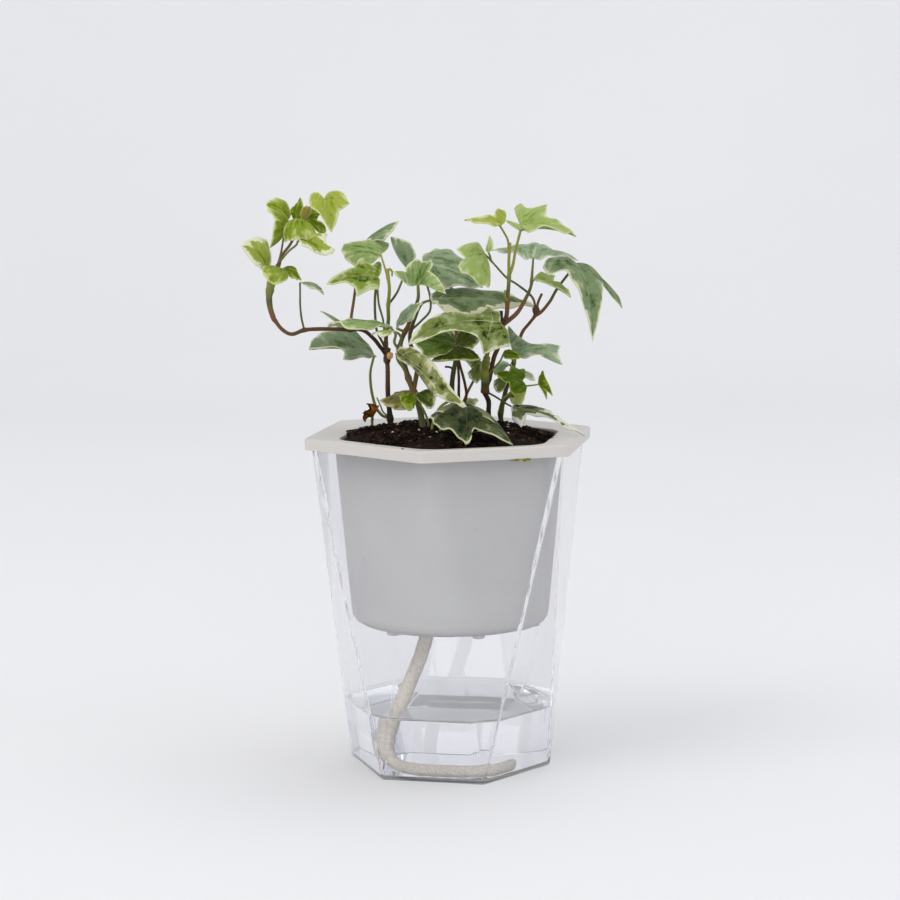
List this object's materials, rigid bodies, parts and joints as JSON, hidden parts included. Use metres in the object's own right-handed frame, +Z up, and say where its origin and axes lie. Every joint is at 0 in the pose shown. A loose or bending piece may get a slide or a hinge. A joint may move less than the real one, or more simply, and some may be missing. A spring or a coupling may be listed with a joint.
{
  "type": "potted ivy",
  "caption": "Variegated ivy in a white pot with a wide hexagonal rim, hung in a clear faceted vessel of water with a cotton wick.",
  "frame": {"origin": "middle of the vessel's flat underside, where it stands", "axes": "+Z up, -Y towards the viewer of the picture, +X to the viewer's right"},
  "size_m": [0.1479, 0.1186, 0.2283],
  "materials": {
    "clear_plastic": "clear injection-moulded polystyrene, polished",
    "white_plastic": "warm white moulded polypropylene, satin",
    "potting_soil": "dark moist peat with white specks of perlite",
    "water": "still clear water",
    "cotton": "soft twisted undyed cotton, wet at its lower end",
    "ivy_leaf": "waxy variegated leaves with cream edges, brown woody stems",
    "dry_leaf": "withered orange-brown leaf"
  },
  "bodies": {
    "root": {"outer_vessel": "clear_plastic", "inner_pot": "white_plastic", "soil": "potting_soil", "water": "water", "wick": "cotton", "wick_in_soil": "cotton", "ivy_left": "ivy_leaf", "ivy_centre": "ivy_leaf", "ivy_back": "ivy_leaf", "ivy_front": "ivy_leaf", "ivy_right": "ivy_leaf", "ivy_far_right": "ivy_leaf", "ivy_rear": "ivy_leaf", "dry_leaf": "dry_leaf"}
  },
  "joints": []
}
